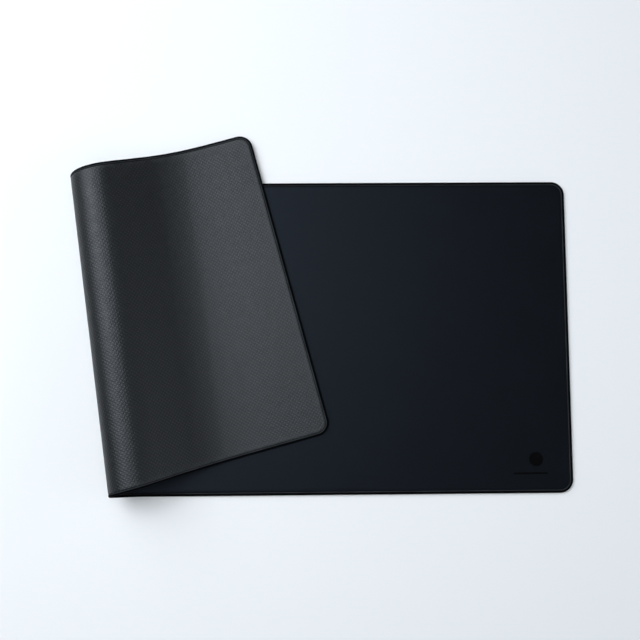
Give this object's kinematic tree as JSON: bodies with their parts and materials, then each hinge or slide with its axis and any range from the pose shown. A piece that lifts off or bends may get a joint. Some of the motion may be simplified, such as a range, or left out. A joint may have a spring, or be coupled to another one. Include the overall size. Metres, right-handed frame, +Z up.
{
  "type": "desk mat",
  "caption": "Large rubber-backed cloth desk mat with a stitched edge and rounded corners, one end folded over; the fold opens until the mat lies flat.",
  "frame": {"origin": "middle of the unfolded mat, on the surface that it lies on", "axes": "+X along the mat's length away from the fold, +Y across its width to the rear, +Z up"},
  "size_m": [0.6321, 0.4612, 0.0611],
  "materials": {
    "face_cloth": "matte",
    "rubber_base": "satin",
    "edge_stitching": "matte",
    "corner_mark": "satin"
  },
  "bodies": {
    "main_panel": {"corner_mark": "corner_mark", "edge_stitching_main": "edge_stitching", "face_cloth_main": "face_cloth", "rubber_base_main": "rubber_base"},
    "strip_01": {"edge_stitching_front_01": "edge_stitching", "edge_stitching_rear_01": "edge_stitching", "face_cloth_strip_01": "face_cloth", "rubber_base_strip_01": "rubber_base"},
    "strip_02": {"edge_stitching_front_02": "edge_stitching", "edge_stitching_rear_02": "edge_stitching", "face_cloth_strip_02": "face_cloth", "rubber_base_strip_02": "rubber_base"},
    "strip_03": {"edge_stitching_front_03": "edge_stitching", "edge_stitching_rear_03": "edge_stitching", "face_cloth_strip_03": "face_cloth", "rubber_base_strip_03": "rubber_base"},
    "strip_04": {"edge_stitching_front_04": "edge_stitching", "edge_stitching_rear_04": "edge_stitching", "face_cloth_strip_04": "face_cloth", "rubber_base_strip_04": "rubber_base"},
    "strip_05": {"edge_stitching_front_05": "edge_stitching", "edge_stitching_rear_05": "edge_stitching", "face_cloth_strip_05": "face_cloth", "rubber_base_strip_05": "rubber_base"},
    "strip_06": {"edge_stitching_front_06": "edge_stitching", "edge_stitching_rear_06": "edge_stitching", "face_cloth_strip_06": "face_cloth", "rubber_base_strip_06": "rubber_base"},
    "strip_07": {"edge_stitching_front_07": "edge_stitching", "edge_stitching_rear_07": "edge_stitching", "face_cloth_strip_07": "face_cloth", "rubber_base_strip_07": "rubber_base"},
    "strip_08": {"edge_stitching_front_08": "edge_stitching", "edge_stitching_rear_08": "edge_stitching", "face_cloth_strip_08": "face_cloth", "rubber_base_strip_08": "rubber_base"},
    "strip_09": {"edge_stitching_front_09": "edge_stitching", "edge_stitching_rear_09": "edge_stitching", "face_cloth_strip_09": "face_cloth", "rubber_base_strip_09": "rubber_base"},
    "strip_10": {"edge_stitching_front_10": "edge_stitching", "edge_stitching_rear_10": "edge_stitching", "face_cloth_strip_10": "face_cloth", "rubber_base_strip_10": "rubber_base"},
    "strip_11": {"edge_stitching_front_11": "edge_stitching", "edge_stitching_rear_11": "edge_stitching", "face_cloth_strip_11": "face_cloth", "rubber_base_strip_11": "rubber_base"},
    "strip_12": {"edge_stitching_front_12": "edge_stitching", "edge_stitching_rear_12": "edge_stitching", "face_cloth_strip_12": "face_cloth", "rubber_base_strip_12": "rubber_base"},
    "strip_13": {"edge_stitching_front_13": "edge_stitching", "edge_stitching_rear_13": "edge_stitching", "face_cloth_strip_13": "face_cloth", "rubber_base_strip_13": "rubber_base"},
    "folded_panel": {"edge_stitching_folded": "edge_stitching", "face_cloth_folded": "face_cloth", "rubber_base_folded": "rubber_base"}
  },
  "joints": [
    {"name": "unfold", "type": "hinge", "parent": "main_panel", "child": "strip_01", "pos_m": [-0.12283, 0, 0.00305], "axis": [0.1314, -0.9913, 0], "range_deg": [0, 19.36]},
    {"name": "bend_02", "type": "hinge", "parent": "strip_01", "child": "strip_02", "pos_m": [-0.13708, 0.00011, 0.00801], "axis": [0.1314, -0.9913, 0], "range_deg": [0, 19.36]},
    {"name": "bend_03", "type": "hinge", "parent": "strip_02", "child": "strip_03", "pos_m": [-0.14567, 0.00042, 0.0148], "axis": [0.1314, -0.9913, 0], "range_deg": [0, 19.36]},
    {"name": "bend_04", "type": "hinge", "parent": "strip_03", "child": "strip_04", "pos_m": [-0.15074, 0.00101, 0.02276], "axis": [0.1314, -0.9913, 0], "range_deg": [0, 19.36]},
    {"name": "bend_05", "type": "hinge", "parent": "strip_04", "child": "strip_05", "pos_m": [-0.15275, 0.0019, 0.03121], "axis": [0.1314, -0.9913, 0], "range_deg": [0, 19.36]},
    {"name": "bend_06", "type": "hinge", "parent": "strip_05", "child": "strip_06", "pos_m": [-0.15191, 0.00313, 0.03952], "axis": [0.1314, -0.9913, 0], "range_deg": [0, 19.36]},
    {"name": "bend_07", "type": "hinge", "parent": "strip_06", "child": "strip_07", "pos_m": [-0.1484, 0.00471, 0.04703], "axis": [0.1314, -0.9913, 0], "range_deg": [0, 19.36]},
    {"name": "bend_08", "type": "hinge", "parent": "strip_07", "child": "strip_08", "pos_m": [-0.14242, 0.00666, 0.05309], "axis": [0.1314, -0.9913, 0], "range_deg": [0, 19.36]},
    {"name": "bend_09", "type": "hinge", "parent": "strip_08", "child": "strip_09", "pos_m": [-0.13417, 0.009, 0.05707], "axis": [0.1314, -0.9913, 0], "range_deg": [0, 19.36]},
    {"name": "bend_10", "type": "hinge", "parent": "strip_09", "child": "strip_10", "pos_m": [-0.12365, 0.01185, 0.05815], "axis": [0.1314, -0.9913, 0], "range_deg": [0, 19.36]},
    {"name": "bend_11", "type": "hinge", "parent": "strip_10", "child": "strip_11", "pos_m": [-0.10951, 0.01572, 0.05462], "axis": [0.1314, -0.9913, 0], "range_deg": [0, 19.36]},
    {"name": "bend_12", "type": "hinge", "parent": "strip_11", "child": "strip_12", "pos_m": [-0.06357, 0.02935, 0.02389], "axis": [-0.1314, 0.9913, 0], "range_deg": [0, 11]},
    {"name": "bend_13", "type": "hinge", "parent": "strip_12", "child": "strip_13", "pos_m": [-0.0348, 0.03743, 0.01194], "axis": [-0.1314, 0.9913, 0], "range_deg": [0, 11]},
    {"name": "bend_14", "type": "hinge", "parent": "strip_13", "child": "folded_panel", "pos_m": [-0.00431, 0.04573, 0.00585], "axis": [-0.1314, 0.9913, 0], "range_deg": [0, 11]}
  ],
  "couplings": [
    {"joint": "bend_02", "follows": "unfold", "ratio": 1},
    {"joint": "bend_03", "follows": "unfold", "ratio": 1},
    {"joint": "bend_04", "follows": "unfold", "ratio": 1},
    {"joint": "bend_05", "follows": "unfold", "ratio": 1},
    {"joint": "bend_06", "follows": "unfold", "ratio": 1},
    {"joint": "bend_07", "follows": "unfold", "ratio": 1},
    {"joint": "bend_08", "follows": "unfold", "ratio": 1},
    {"joint": "bend_09", "follows": "unfold", "ratio": 1},
    {"joint": "bend_10", "follows": "unfold", "ratio": 1},
    {"joint": "bend_11", "follows": "unfold", "ratio": 1},
    {"joint": "bend_12", "follows": "unfold", "ratio": 0.56807},
    {"joint": "bend_13", "follows": "unfold", "ratio": 0.56807},
    {"joint": "bend_14", "follows": "unfold", "ratio": 0.56807}
  ]
}
